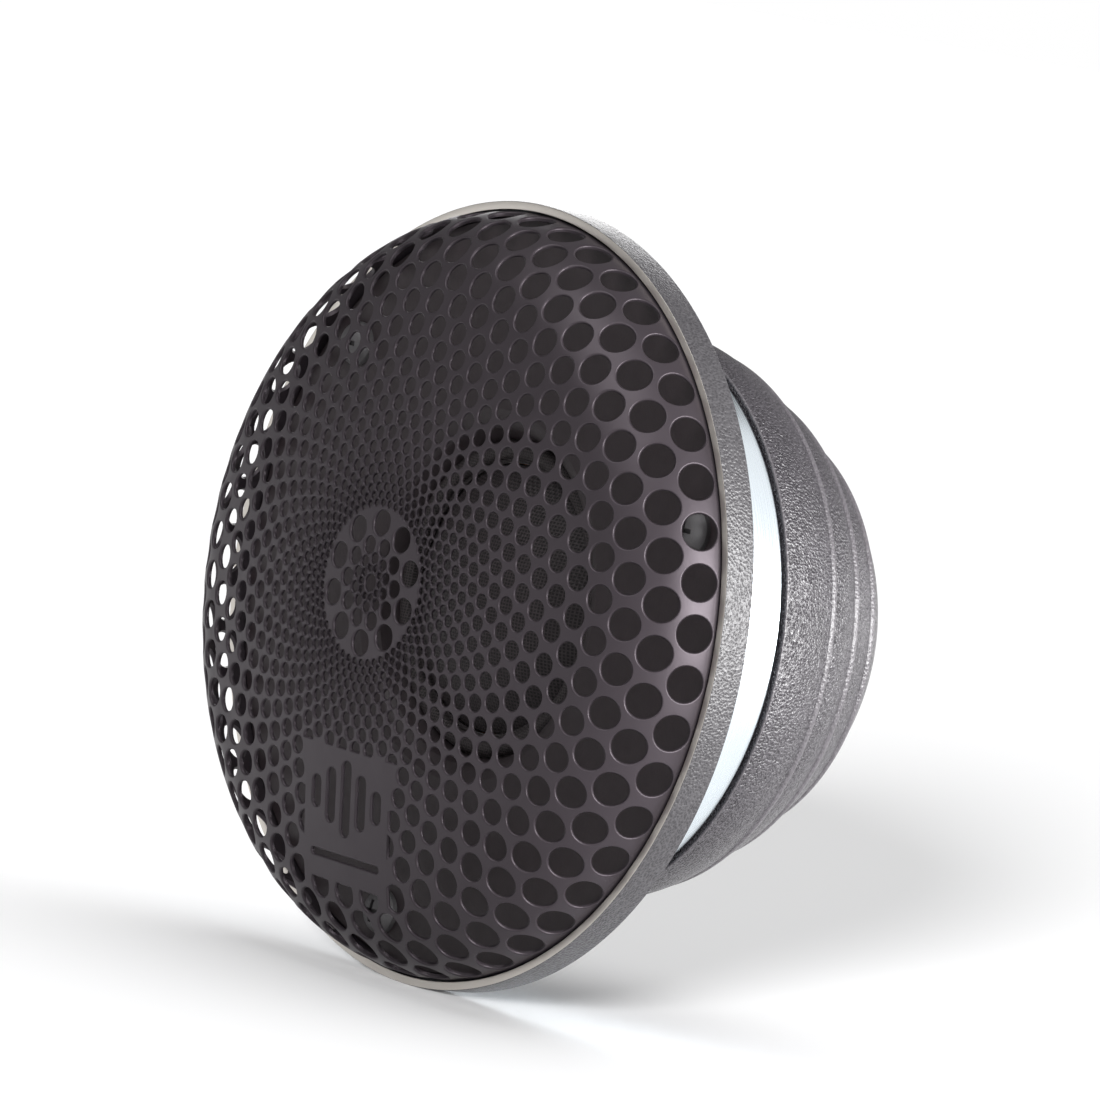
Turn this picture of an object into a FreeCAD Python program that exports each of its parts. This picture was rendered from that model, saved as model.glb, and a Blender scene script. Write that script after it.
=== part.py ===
"""Car tweeter: a 19 mm soft dome unit behind a domed, perforated steel grille.

The acoustic axis is the Y axis. The grille faces -Y and the closed rear cup points to +Y.
+Z is up, with the badge at the bottom of the grille. The origin is where the axis meets
the rear face of the trim ring, which is the face that seats on the door panel or pillar.
All sizes are in millimetres. Every turned piece is an outline of (radius, y) points,
revolved about the axis.
"""
import FreeCAD
import Part
import math
import os

# ---------------------------------------------------------------- driving dimensions
TRIM_RADIUS = 28.0              # outside of the trim ring, the widest part
TRIM_FRONT = -2.4               # front plane of the trim ring
TRIM_BORE = 27.6
TRIM_LIP_BORE = 27.4            # the front lip reaches in over the gap round the grille
TRIM_LIP_REAR = -2.0
FLANGE_FRONT = -1.0             # front face of the trim ring's inner flange
SEAT = 0.0                      # rear face of the flange, which meets the panel

BAND_RADIUS = 20.47             # bright spigot that passes through the panel
BAND_BORE = 18.6
BAND_REAR = 9.05
CUP_FRONT = 9.25
CUP_RADIUS = 20.8

GRILLE_RADIUS = 27.3
GRILLE_APEX = -11.45
GRILLE_CAP_RADIUS = 92.0        # spherical middle of the grille
GRILLE_KNUCKLE = 7.3            # rounded turn-down at its rim
GRILLE_SHEET = 0.5
GRILLE_SEAT = -1.4

FACEPLATE_FRONT = -1.8
FACEPLATE_BORE = 12.0
FACEPLATE_MOUTH = 13.3          # front edge of the flare round its bore
SEAL_FRONT = -1.95

HOUSING_SHOULDER = 21.2
HOUSING_SHOULDER_REAR = -0.5

# ---------------------------------------------------------------- diaphragm
COIL_RADIUS = 9.5               # inside of the voice-coil former
FORMER_WALL = 0.1
COIL_BUILD = 0.35
COIL_FRONT = 1.95
COIL_REAR = 4.05
DIAPHRAGM_PLANE = 0.6           # plane of the dome's edge
DOME_HEIGHT = 3.4
FABRIC = 0.25
GLUE_GAP = 0.06
SURROUND_INNER = COIL_RADIUS + FORMER_WALL + GLUE_GAP
SURROUND_OUTER = 11.3
CLAMP_OUTER = 12.6

# ---------------------------------------------------------------- motor and its frame
YOKE_RADIUS = 15.0
YOKE_FRONT = 1.5
YOKE_REAR = 11.0
GAP_OUTER = 10.4                # the magnetic gap, between this and the shorting cap
POLE_RADIUS = 9.05
POLE_FRONT = 1.9
POLE_REAR = 4.6
SHORTING_WALL = 0.15
MAGNET_REAR = 8.5
VENT_RADIUS = 1.5

FRAME_STEP = 6.0
FRAME_SLIM = 17.0
RETAINER_REAR = 12.0
RETAINER_SCREW_CIRCLE = 16.1
RETAINER_SHANK = 0.4
RETAINER_HEAD = 0.7
RETAINER_DEPTH = 4.0

# ---------------------------------------------------------------- grille perforation
HOLES_PER_ROW = 48
ROW_RATIO = 0.9134              # each spherical row is this much smaller than the one outside it
KNUCKLE_ROW_ANGLES = (17.0, 37.5)       # degrees up the knuckle from the straight skirt
KNUCKLE_ROW_HOLES = (2.55, 2.42)        # hole diameters of those two rows
FIRST_CAP_ROW = 24.04           # radius of the third row
SECOND_CAP_ROW = 22.10
CAP_ROWS = 7                    # cap rows drilled here; the finer rows inside them are left solid
HOLE_TO_PITCH = 0.655
BADGE_HALF_WIDTH = 5.0
BADGE_TOP = -11.86
BADGE_BOTTOM = -21.53

# ---------------------------------------------------------------- fasteners
SCREW_CIRCLE = 24.0
SCREW_FIRST_ANGLE = 69.6        # degrees clockwise from the top, seen from the front
SCREW_SHANK = 0.9
SCREW_HEAD = 1.6

# ---------------------------------------------------------------- rear cup and its contents
CUP_LIP = 0.15
CUP_LAND_REAR = 10.1            # end of the straight land at the cup's widest place
CUP_WALL_RADIUS = 17.1
SPIGOT_FRONT = 6.3
CAVITY_REAR = 25.4
CUP_OPENING = 5.0
BACK = 27.6                     # flat rear face of the cup
FOAM_FRONT = 13.2
FOAM_REAR = 19.4

# ---------------------------------------------------------------- wiring and terminals
LEAD_RADIUS = 0.15
LEAD_Y = DIAPHRAGM_PLANE + FABRIC + 0.18
LEAD_SLOT_FLOOR = LEAD_Y + 0.22
LUG_INNER = 15.2
WIRE_RADIUS = 0.45
WIRE_CIRCLE = 15.95             # where the wires run back beside the motor
WIRE_GROOVE = 16.6
WIRE_ANGLES = {"positive": 83.0, "negative": 97.0}
WIRE_CROSSING = {"positive": 21.3, "negative": 20.1}    # y at which each wire crosses the chamber
WIRE_KNEE = 12.3
TERMINAL_RADIUS = 6.6
TERMINAL_SEAT = 26.4
TAB_SPACING = 4.6
TAB_SIDES = {"positive": 1, "negative": -1}
TAB_WIDTHS = {"positive": 2.8, "negative": 2.0}
TAB_FRONT = 24.2
TAB_REAR = 31.4
TAB_HALF_THICKNESS = 0.25

AXIS = FreeCAD.Vector(0, 1, 0)
CENTRE = FreeCAD.Vector(0, 0, 0)


def arc(middle, end):
    """One arc of an outline, through a middle point to an end point."""
    return {"middle": middle, "end": end}


def outline_edges(items):
    """Edges of a closed outline: plain points are joined by lines, arc() items by arcs."""
    edges = []
    start = FreeCAD.Vector(items[0][0], items[0][1], 0)
    here = start
    for item in items[1:]:
        if isinstance(item, dict):
            middle = FreeCAD.Vector(item["middle"][0], item["middle"][1], 0)
            end = FreeCAD.Vector(item["end"][0], item["end"][1], 0)
            edges.append(Part.Arc(here, middle, end).toShape())
        else:
            end = FreeCAD.Vector(item[0], item[1], 0)
            edges.append(Part.makeLine(here, end))
        here = end
    if here.distanceToPoint(start) > 1e-7:
        edges.append(Part.makeLine(here, start))
    return edges


def turned(*items):
    """Solid of revolution about the Y axis from an outline of (radius, y) points."""
    face = Part.Face(Part.Wire(outline_edges(items)))
    solid = face.revolve(CENTRE, AXIS, 360)
    if solid.Volume < 0:
        solid.reverse()
    return solid


def tube(inner, outer, front, rear):
    """Plain ring with a rectangular section."""
    return turned((inner, front), (outer, front), (outer, rear), (inner, rear))


def disc(radius, front, rear):
    return Part.makeCylinder(radius, rear - front, FreeCAD.Vector(0, front, 0), AXIS)


def around(radius, angle, y):
    """Point at a radius and an angle in degrees clockwise from the top, seen from the front."""
    turn = math.radians(angle)
    return FreeCAD.Vector(radius * math.sin(turn), y, radius * math.cos(turn))


def rod(start, end, radius):
    step = end - start
    return Part.makeCylinder(radius, step.Length, start, step)


def rod_along(radius, angle, front, rear, thickness):
    """Round bar parallel to the axis, at a radius and an angle."""
    return rod(around(radius, angle, front), around(radius, angle, rear), thickness)


def block(x, y, z):
    """Box from three (low, high) pairs."""
    corner = FreeCAD.Vector(x[0], y[0], z[0])
    return Part.makeBox(x[1] - x[0], y[1] - y[0], z[1] - z[0], corner)


def group(solids):
    return Part.makeCompound(solids)


def on_circle(centre, radius, degrees):
    """Point of an outline on a circle, by its angle from the radial direction."""
    turn = math.radians(degrees)
    return (centre[0] + radius * math.cos(turn), centre[1] - radius * math.sin(turn))


# ---------------------------------------------------------------- grille
CAP_CENTRE_Y = GRILLE_APEX + GRILLE_CAP_RADIUS
KNUCKLE_R = GRILLE_RADIUS - GRILLE_KNUCKLE
KNUCKLE_Y = CAP_CENTRE_Y - math.sqrt((GRILLE_CAP_RADIUS - GRILLE_KNUCKLE) ** 2 - KNUCKLE_R ** 2)
KNUCKLE_TOP = math.degrees(math.atan2(CAP_CENTRE_Y - KNUCKLE_Y, KNUCKLE_R))


def grille_shell():
    """Pressed sheet: spherical cap, knuckle and a short straight skirt."""
    knuckle = (KNUCKLE_R, KNUCKLE_Y)
    cap = (0.0, CAP_CENTRE_Y)
    inner_cap = GRILLE_CAP_RADIUS - GRILLE_SHEET
    inner_knuckle = GRILLE_KNUCKLE - GRILLE_SHEET
    inner_radius = GRILLE_RADIUS - GRILLE_SHEET
    half_cap = (90 + KNUCKLE_TOP) / 2
    half_knuckle = KNUCKLE_TOP / 2
    return turned(
        (0, GRILLE_APEX),
        arc(on_circle(cap, GRILLE_CAP_RADIUS, half_cap),
            on_circle(knuckle, GRILLE_KNUCKLE, KNUCKLE_TOP)),
        arc(on_circle(knuckle, GRILLE_KNUCKLE, half_knuckle), (GRILLE_RADIUS, KNUCKLE_Y)),
        (GRILLE_RADIUS, GRILLE_SEAT),
        (inner_radius, GRILLE_SEAT),
        (inner_radius, KNUCKLE_Y),
        arc(on_circle(knuckle, inner_knuckle, half_knuckle),
            on_circle(knuckle, inner_knuckle, KNUCKLE_TOP)),
        arc(on_circle(cap, inner_cap, half_cap), (0, GRILLE_APEX + GRILLE_SHEET)),
    )


def surface_angle(radius):
    """Angle of the grille's outward normal above the radial direction, at a radius."""
    knuckle_edge = KNUCKLE_R + GRILLE_KNUCKLE * math.cos(math.radians(KNUCKLE_TOP))
    if radius > knuckle_edge:
        return math.degrees(math.acos((radius - KNUCKLE_R) / GRILLE_KNUCKLE))
    return math.degrees(math.acos(radius / GRILLE_CAP_RADIUS))


def surface_point(radius):
    """(radius, y) on the outside of the grille."""
    angle = surface_angle(radius)
    if angle > KNUCKLE_TOP:
        return on_circle((0.0, CAP_CENTRE_Y), GRILLE_CAP_RADIUS, angle)
    return on_circle((KNUCKLE_R, KNUCKLE_Y), GRILLE_KNUCKLE, angle)


def grille_rows():
    """(radius, hole diameter) of each drilled row, from the rim inwards."""
    rows = []
    for angle, diameter in zip(KNUCKLE_ROW_ANGLES, KNUCKLE_ROW_HOLES):
        radius = KNUCKLE_R + GRILLE_KNUCKLE * math.cos(math.radians(angle))
        rows.append((radius, diameter))
    cap_radii = [FIRST_CAP_ROW, SECOND_CAP_ROW]
    while len(cap_radii) < CAP_ROWS:
        cap_radii.append(cap_radii[-1] * ROW_RATIO)
    for radius in cap_radii:
        rows.append((radius, HOLE_TO_PITCH * 2 * math.pi * radius / HOLES_PER_ROW))
    return rows


def clear_of_badge(point, margin):
    beside = abs(point.x) > BADGE_HALF_WIDTH + margin
    above_or_below = point.z > BADGE_TOP + margin or point.z < BADGE_BOTTOM - margin
    return beside or above_or_below


def make_grille():
    pitch = 360.0 / HOLES_PER_ROW
    drills = []
    for number, (radius, diameter) in enumerate(grille_rows()):
        offset = 0.5 if number % 2 == 0 else 0.0
        tilt = math.radians(surface_angle(radius))
        y = surface_point(radius)[1]
        for step in range(HOLES_PER_ROW):
            angle = (step + offset) * pitch
            centre = around(radius, angle, y)
            if not clear_of_badge(centre, diameter / 2):
                continue
            normal = around(math.cos(tilt), angle, -math.sin(tilt))
            start = centre + normal * GRILLE_SHEET
            drills.append(Part.makeCylinder(diameter / 2, 3 * GRILLE_SHEET, start, normal * -1))
    return grille_shell().cut(drills)


# ---------------------------------------------------------------- front pieces
def make_trim_ring():
    edge = 0.15
    return turned(
        (TRIM_LIP_BORE, TRIM_FRONT),
        (TRIM_RADIUS - edge, TRIM_FRONT),
        (TRIM_RADIUS, TRIM_FRONT + edge),
        (TRIM_RADIUS, SEAT),
        (BAND_RADIUS, SEAT),
        (BAND_RADIUS, HOUSING_SHOULDER_REAR),
        (HOUSING_SHOULDER, HOUSING_SHOULDER_REAR),
        (HOUSING_SHOULDER, FLANGE_FRONT),
        (TRIM_BORE, FLANGE_FRONT),
        (TRIM_BORE, TRIM_LIP_REAR),
        (TRIM_LIP_BORE, TRIM_LIP_REAR),
    ).cut([screw_shank(angle) for angle in screw_angles()])


def make_grille_seal():
    return tube(GRILLE_RADIUS, TRIM_BORE, SEAL_FRONT, GRILLE_SEAT)


def make_faceplate():
    """Front plate with a flared mouth in front of the surround."""
    plate = turned(
        (FACEPLATE_MOUTH, FACEPLATE_FRONT),
        (GRILLE_RADIUS - GRILLE_SHEET, FACEPLATE_FRONT),
        (GRILLE_RADIUS - GRILLE_SHEET, GRILLE_SEAT),
        (TRIM_BORE, GRILLE_SEAT),
        (TRIM_BORE, FLANGE_FRONT),
        (FACEPLATE_BORE, FLANGE_FRONT),
        arc((12.38, -1.42), (FACEPLATE_MOUTH, FACEPLATE_FRONT)),
    )
    return plate.cut([screw_shank(angle) for angle in screw_angles()])


def screw_angles():
    return [SCREW_FIRST_ANGLE + 120 * number for number in range(3)]


def screw_shank(angle):
    return rod_along(SCREW_CIRCLE, angle, FACEPLATE_FRONT, SEAT, SCREW_SHANK)


def make_faceplate_screws():
    """Three pan-head screws that hold the faceplate to the trim ring's flange."""
    top = FACEPLATE_FRONT - 1.15
    head = turned(
        (0, FACEPLATE_FRONT),
        (0, top),
        arc((SCREW_HEAD * 0.72, top + 0.23), (SCREW_HEAD, FACEPLATE_FRONT - 0.35)),
        (SCREW_HEAD, FACEPLATE_FRONT),
    )
    long_half = 0.8
    short_half = 0.17
    depth = (top - 1, top + 0.6)
    head = head.cut([
        block((-long_half, long_half), depth, (-short_half, short_half)),
        block((-short_half, short_half), depth, (-long_half, long_half)),
    ])
    screws = []
    for angle in screw_angles():
        place = around(SCREW_CIRCLE, angle, 0)
        screws.append(head.translated(place).fuse(screw_shank(angle)).removeSplitter())
    return group(screws)


def make_housing():
    """Bright spigot, hung from a small shoulder between the flange and the faceplate."""
    return turned(
        (BAND_BORE, FLANGE_FRONT),
        (HOUSING_SHOULDER, FLANGE_FRONT),
        (HOUSING_SHOULDER, HOUSING_SHOULDER_REAR),
        (BAND_RADIUS, HOUSING_SHOULDER_REAR),
        (BAND_RADIUS, BAND_REAR),
        (BAND_BORE, BAND_REAR),
    )


# ---------------------------------------------------------------- moving parts
def make_dome():
    """Soft dome: a fabric cap that rolls over into a short skirt round the former."""
    inside = COIL_RADIUS + FORMER_WALL
    edge = DIAPHRAGM_PLANE
    apex = edge - DOME_HEIGHT
    radius = (inside ** 2 + DOME_HEIGHT ** 2) / (2 * DOME_HEIGHT)
    centre_y = apex + radius
    half = inside / 2
    outer_middle = (half, centre_y - math.sqrt(radius ** 2 - half ** 2))
    thin = radius - FABRIC
    inner_edge = COIL_RADIUS
    inner_edge_y = centre_y - math.sqrt(thin ** 2 - inner_edge ** 2)
    inner_middle = (half, centre_y - math.sqrt(thin ** 2 - half ** 2))
    return turned(
        (0, apex),
        arc(outer_middle, (inside, edge)),
        (inside, inner_edge_y),
        (inner_edge, inner_edge_y),
        arc(inner_middle, (0, apex + FABRIC)),
    )


def dome_seat():
    """Where the former meets the dome."""
    inside = COIL_RADIUS + FORMER_WALL
    radius = (inside ** 2 + DOME_HEIGHT ** 2) / (2 * DOME_HEIGHT)
    centre_y = DIAPHRAGM_PLANE - DOME_HEIGHT + radius
    return centre_y - math.sqrt((radius - FABRIC) ** 2 - COIL_RADIUS ** 2)


def make_coil_former():
    return tube(COIL_RADIUS, COIL_RADIUS + FORMER_WALL, dome_seat(), COIL_REAR + 0.15)


def make_voice_coil():
    inner = COIL_RADIUS + FORMER_WALL
    return tube(inner, inner + COIL_BUILD, COIL_FRONT, COIL_REAR)


def make_surround():
    """Half-roll suspension with its flat outer flange in the clamp."""
    middle = (SURROUND_INNER + 0.25 + SURROUND_OUTER) / 2
    roll = (SURROUND_OUTER - SURROUND_INNER - 0.25) / 2
    front = DIAPHRAGM_PLANE
    rear = front + FABRIC
    return turned(
        (SURROUND_INNER, front),
        (middle - roll, front),
        arc((middle, front - roll), (middle + roll, front)),
        (CLAMP_OUTER, front),
        (CLAMP_OUTER, rear),
        (middle + roll - FABRIC, rear),
        arc((middle, rear - roll + FABRIC), (middle - roll + FABRIC, rear)),
        (SURROUND_INNER, rear),
    )


def make_diaphragm_ring():
    """Clamp ring in front of the surround's flange; its bore flares towards the faceplate."""
    return turned(
        (SURROUND_OUTER + 0.05, DIAPHRAGM_PLANE),
        (YOKE_RADIUS, DIAPHRAGM_PLANE),
        (YOKE_RADIUS, FLANGE_FRONT),
        (FACEPLATE_BORE, FLANGE_FRONT),
    )


def make_spacer_ring():
    """Spacer between the surround's flange and the yoke, with slots for the two leads."""
    ring = tube(SURROUND_OUTER, YOKE_RADIUS, DIAPHRAGM_PLANE + FABRIC, YOKE_FRONT)
    collar = tube(CLAMP_OUTER, YOKE_RADIUS, DIAPHRAGM_PLANE, YOKE_FRONT)
    slots = []
    for angle in WIRE_ANGLES.values():
        slot = block((-0.3, 0.3), (DIAPHRAGM_PLANE - 1, LEAD_SLOT_FLOOR), (0, YOKE_RADIUS + 1))
        slots.append(slot.rotated(CENTRE, AXIS, angle))
    return ring.fuse(collar).removeSplitter().cut(slots)


def make_lead_wires():
    """Two flexible leads from the coil to the solder lugs."""
    leads = []
    inner = COIL_RADIUS + FORMER_WALL + 0.25
    for angle in WIRE_ANGLES.values():
        start = around(inner, angle, LEAD_Y)
        leads.append(rod(start, around(LUG_INNER, angle, LEAD_Y), LEAD_RADIUS))
    return group(leads)


# ---------------------------------------------------------------- motor
def make_yoke():
    """Steel pot: thick rim round the gap, relieved behind it, with a vented floor."""
    relief = 11.6
    return turned(
        (GAP_OUTER, YOKE_FRONT),
        (YOKE_RADIUS, YOKE_FRONT),
        (YOKE_RADIUS, YOKE_REAR),
        (VENT_RADIUS, YOKE_REAR),
        (VENT_RADIUS, MAGNET_REAR),
        (relief, MAGNET_REAR),
        (relief, POLE_REAR),
        (GAP_OUTER, POLE_REAR - 0.3),
    )


def make_magnet():
    return tube(VENT_RADIUS, POLE_RADIUS - 0.25, POLE_REAR, MAGNET_REAR)


def make_pole_plate():
    return tube(VENT_RADIUS, POLE_RADIUS, POLE_FRONT, POLE_REAR)


def make_shorting_cap():
    """Copper cap over the pole plate."""
    outer = POLE_RADIUS + SHORTING_WALL
    front = POLE_FRONT - SHORTING_WALL
    return turned(
        (VENT_RADIUS, front),
        (outer, front),
        (outer, POLE_REAR - 0.2),
        (POLE_RADIUS, POLE_REAR - 0.2),
        (POLE_RADIUS, POLE_FRONT),
        (VENT_RADIUS, POLE_FRONT),
    )


def make_damping_pad():
    return tube(VENT_RADIUS, 6.0, POLE_FRONT - SHORTING_WALL - 0.5, POLE_FRONT - SHORTING_WALL)


def wire_grooves(front, rear):
    """Grooves along the motor frame for the hook-up wires."""
    grooves = []
    for angle in WIRE_ANGLES.values():
        groove = block((-0.6, 0.6), (front, rear), (YOKE_RADIUS - 1, WIRE_GROOVE))
        grooves.append(groove.rotated(CENTRE, AXIS, angle))
    return grooves


def make_motor_frame():
    """Moulded frame that carries the motor and the diaphragm inside the spigot."""
    frame = turned(
        (YOKE_RADIUS, FLANGE_FRONT),
        (BAND_BORE, FLANGE_FRONT),
        (BAND_BORE, FRAME_STEP),
        (FRAME_SLIM, FRAME_STEP),
        (FRAME_SLIM, YOKE_REAR),
        (YOKE_RADIUS, YOKE_REAR),
    )
    return frame.cut(wire_grooves(LEAD_Y - 0.6, YOKE_REAR + 1) + retainer_shanks())


def retainer_angles():
    return [30 + 120 * number for number in range(3)]


def retainer_shanks():
    foot = YOKE_REAR - RETAINER_DEPTH
    return [
        rod_along(RETAINER_SCREW_CIRCLE, angle, foot, RETAINER_REAR, RETAINER_SHANK)
        for angle in retainer_angles()
    ]


def make_retaining_ring():
    """Steel ring screwed to the frame, which keeps the yoke in place."""
    ring = tube(12.0, FRAME_SLIM - 0.2, YOKE_REAR, RETAINER_REAR)
    return ring.cut(retainer_shanks() + wire_grooves(YOKE_REAR - 1, RETAINER_REAR + 1))


def make_retaining_screws():
    screws = []
    for angle, shank in zip(retainer_angles(), retainer_shanks()):
        head = rod_along(RETAINER_SCREW_CIRCLE, angle, RETAINER_REAR, RETAINER_REAR + 0.6, RETAINER_HEAD)
        screws.append(shank.fuse(head).removeSplitter())
    return group(screws)


def make_solder_lugs():
    """Two small brass lugs in the frame's grooves, where the leads meet the hook-up wires."""
    lugs = []
    for angle in WIRE_ANGLES.values():
        lug = block((-0.5, 0.5), (LEAD_Y - 0.4, LEAD_Y + 0.4), (LUG_INNER, WIRE_GROOVE))
        lugs.append(lug.rotated(CENTRE, AXIS, angle))
    return group(lugs)


# ---------------------------------------------------------------- rear chamber
def make_cup_gasket():
    return tube(BAND_BORE, BAND_RADIUS - 0.25, BAND_REAR, CUP_FRONT)


def make_rear_cup():
    """Cast cup: a short spigot, a barrel and three stepped tiers that close to a flat back."""
    return turned(
        (CUP_WALL_RADIUS, SPIGOT_FRONT),
        (BAND_BORE, SPIGOT_FRONT),
        (BAND_BORE, CUP_FRONT),
        (CUP_RADIUS - CUP_LIP, CUP_FRONT),
        (CUP_RADIUS, CUP_FRONT + CUP_LIP),
        (CUP_RADIUS, CUP_LAND_REAR),
        arc((20.46, 12.4), (19.62, 14.55)),
        arc((19.52, 14.82), (19.25, 14.90)),
        (19.05, 14.95),
        arc((18.42, 16.95), (17.45, 18.52)),
        arc((17.25, 18.74), (17.0, 18.76)),
        (16.85, 18.80),
        arc((16.15, 20.50), (15.05, 22.15)),
        arc((14.85, 22.34), (14.65, 22.36)),
        (14.52, 22.40),
        arc((12.10, 25.38), (8.2, BACK)),
        (TERMINAL_RADIUS, BACK),
        (TERMINAL_RADIUS, TERMINAL_SEAT),
        (CUP_OPENING, TERMINAL_SEAT),
        (CUP_OPENING, CAVITY_REAR),
        (8.0, CAVITY_REAR),
        arc((13.2, 21.6), (16.2, 15.4)),
        (CUP_WALL_RADIUS, 13.6),
    )


def make_chamber_foam():
    """Damping foam behind the motor, with a notch for the hook-up wires."""
    foam = turned((0, FOAM_FRONT), (15.6, FOAM_FRONT), (15.6, 14.6), (13.4, FOAM_REAR), (0, FOAM_REAR))
    notch = block((11.6, 18.0), (FOAM_FRONT - 1, FOAM_REAR + 1), (-4.2, 4.2))
    return foam.cut(notch)


def make_tab(sign):
    """Flat terminal blade through the board, with a hole near its rear end."""
    half = TAB_WIDTHS[sign] / 2
    x = TAB_SIDES[sign] * TAB_SPACING / 2
    sides = (x - TAB_HALF_THICKNESS, x + TAB_HALF_THICKNESS)
    chamfer = 0.5
    blade = block(sides, (TAB_FRONT, TAB_REAR), (-half, half))
    corners = []
    for end in (-half, half):
        inward = chamfer if end < 0 else -chamfer
        points = [(end, TAB_REAR), (end + inward, TAB_REAR), (end, TAB_REAR - chamfer)]
        points.append(points[0])
        wire = Part.makePolygon([FreeCAD.Vector(sides[0] - 1, y, z) for z, y in points])
        corners.append(Part.Face(wire).extrude(FreeCAD.Vector(3, 0, 0)))
    hole_start = FreeCAD.Vector(sides[0] - 1, TAB_REAR - 1.5, 0)
    hole = rod(hole_start, hole_start + FreeCAD.Vector(3, 0, 0), 0.45)
    shoulder = block((x - 0.7, x + 0.7), (TERMINAL_SEAT - 0.5, TERMINAL_SEAT), (-half, half))
    return blade.cut(corners + [hole]).fuse(shoulder).removeSplitter()


def make_terminal_board():
    """Round board in the cup's back, slotted for the two blades."""
    board = disc(TERMINAL_RADIUS, TERMINAL_SEAT, BACK)
    slots = []
    for sign, side in TAB_SIDES.items():
        x = side * TAB_SPACING / 2
        half = TAB_WIDTHS[sign] / 2
        sides = (x - TAB_HALF_THICKNESS, x + TAB_HALF_THICKNESS)
        slots.append(block(sides, (TERMINAL_SEAT - 1, BACK + 1), (-half, half)))
    return board.cut(slots)


def wire_path(points, radii):
    """Straight runs joined by tangent arcs, as one wire."""
    edges = []
    here = points[0]
    for index, radius in enumerate(radii, start=1):
        corner = points[index]
        back = (here - corner).normalize()
        ahead = (points[index + 1] - corner).normalize()
        half_turn = math.acos(max(-1.0, min(1.0, -back.dot(ahead)))) / 2
        reach = radius * math.tan(half_turn)
        first = corner + back * reach
        last = corner + ahead * reach
        bisector = (back + ahead).normalize()
        centre = corner + bisector * (radius / math.cos(half_turn))
        middle = centre - bisector * radius
        edges.append(Part.makeLine(here, first))
        edges.append(Part.Arc(first, middle, last).toShape())
        here = last
    edges.append(Part.makeLine(here, points[-1]))
    return Part.Wire(edges)


def make_hookup_wire(sign):
    """Insulated wire from a solder lug, back through its groove, to a terminal blade."""
    side = TAB_SIDES[sign]
    angle = WIRE_ANGLES[sign]
    crossing = WIRE_CROSSING[sign]
    start = around(WIRE_CIRCLE, angle, LEAD_Y + 0.4)
    bend = around(WIRE_CIRCLE, angle, 13.6)
    knee = around(WIRE_KNEE, angle, crossing)
    x = side * TAB_SPACING / 2
    turn = FreeCAD.Vector(x, crossing, 0)
    end = FreeCAD.Vector(x, TAB_FRONT, 0)
    path = wire_path([start, bend, knee, turn, end], (2.0, 1.4, 1.0))
    circle = Part.Wire(Part.makeCircle(WIRE_RADIUS, start, bend - start))
    return path.makePipeShell([circle], True, False)


# ---------------------------------------------------------------- output
def build_nodes():
    return {
        "grille": make_grille(),
        "trim_ring": make_trim_ring(),
        "grille_seal": make_grille_seal(),
        "faceplate": make_faceplate(),
        "faceplate_screws": make_faceplate_screws(),
        "housing": make_housing(),
        "dome": make_dome(),
        "coil_former": make_coil_former(),
        "voice_coil": make_voice_coil(),
        "surround": make_surround(),
        "diaphragm_ring": make_diaphragm_ring(),
        "spacer_ring": make_spacer_ring(),
        "lead_wires": make_lead_wires(),
        "yoke": make_yoke(),
        "magnet": make_magnet(),
        "pole_plate": make_pole_plate(),
        "shorting_cap": make_shorting_cap(),
        "damping_pad": make_damping_pad(),
        "motor_frame": make_motor_frame(),
        "retaining_ring": make_retaining_ring(),
        "retaining_screws": make_retaining_screws(),
        "solder_lugs": make_solder_lugs(),
        "cup_gasket": make_cup_gasket(),
        "rear_cup": make_rear_cup(),
        "chamber_foam": make_chamber_foam(),
        "terminal_board": make_terminal_board(),
        "terminal_positive": make_tab("positive"),
        "terminal_negative": make_tab("negative"),
        "hookup_wire_positive": make_hookup_wire("positive"),
        "hookup_wire_negative": make_hookup_wire("negative"),
    }


os.makedirs("parts", exist_ok=True)
for name, shape in build_nodes().items():
    shape.exportStep("parts/" + name + ".step")
    print(f"{name}: {shape.Volume:.2f} mm3, {len(shape.Solids)} solid(s), valid {shape.isValid()}")
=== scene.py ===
"""Looks for a car tweeter with a domed, perforated grille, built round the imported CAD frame.

Lengths named here are in millimetres unless they come from the frame, which is in metres.
The acoustic axis is Y, the grille faces -Y, and +Z is up.
"""
import math

import bpy
import bmesh
import numpy as np
from mathutils import Matrix, Vector
from mathutils.geometry import delaunay_2d_cdt


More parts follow.
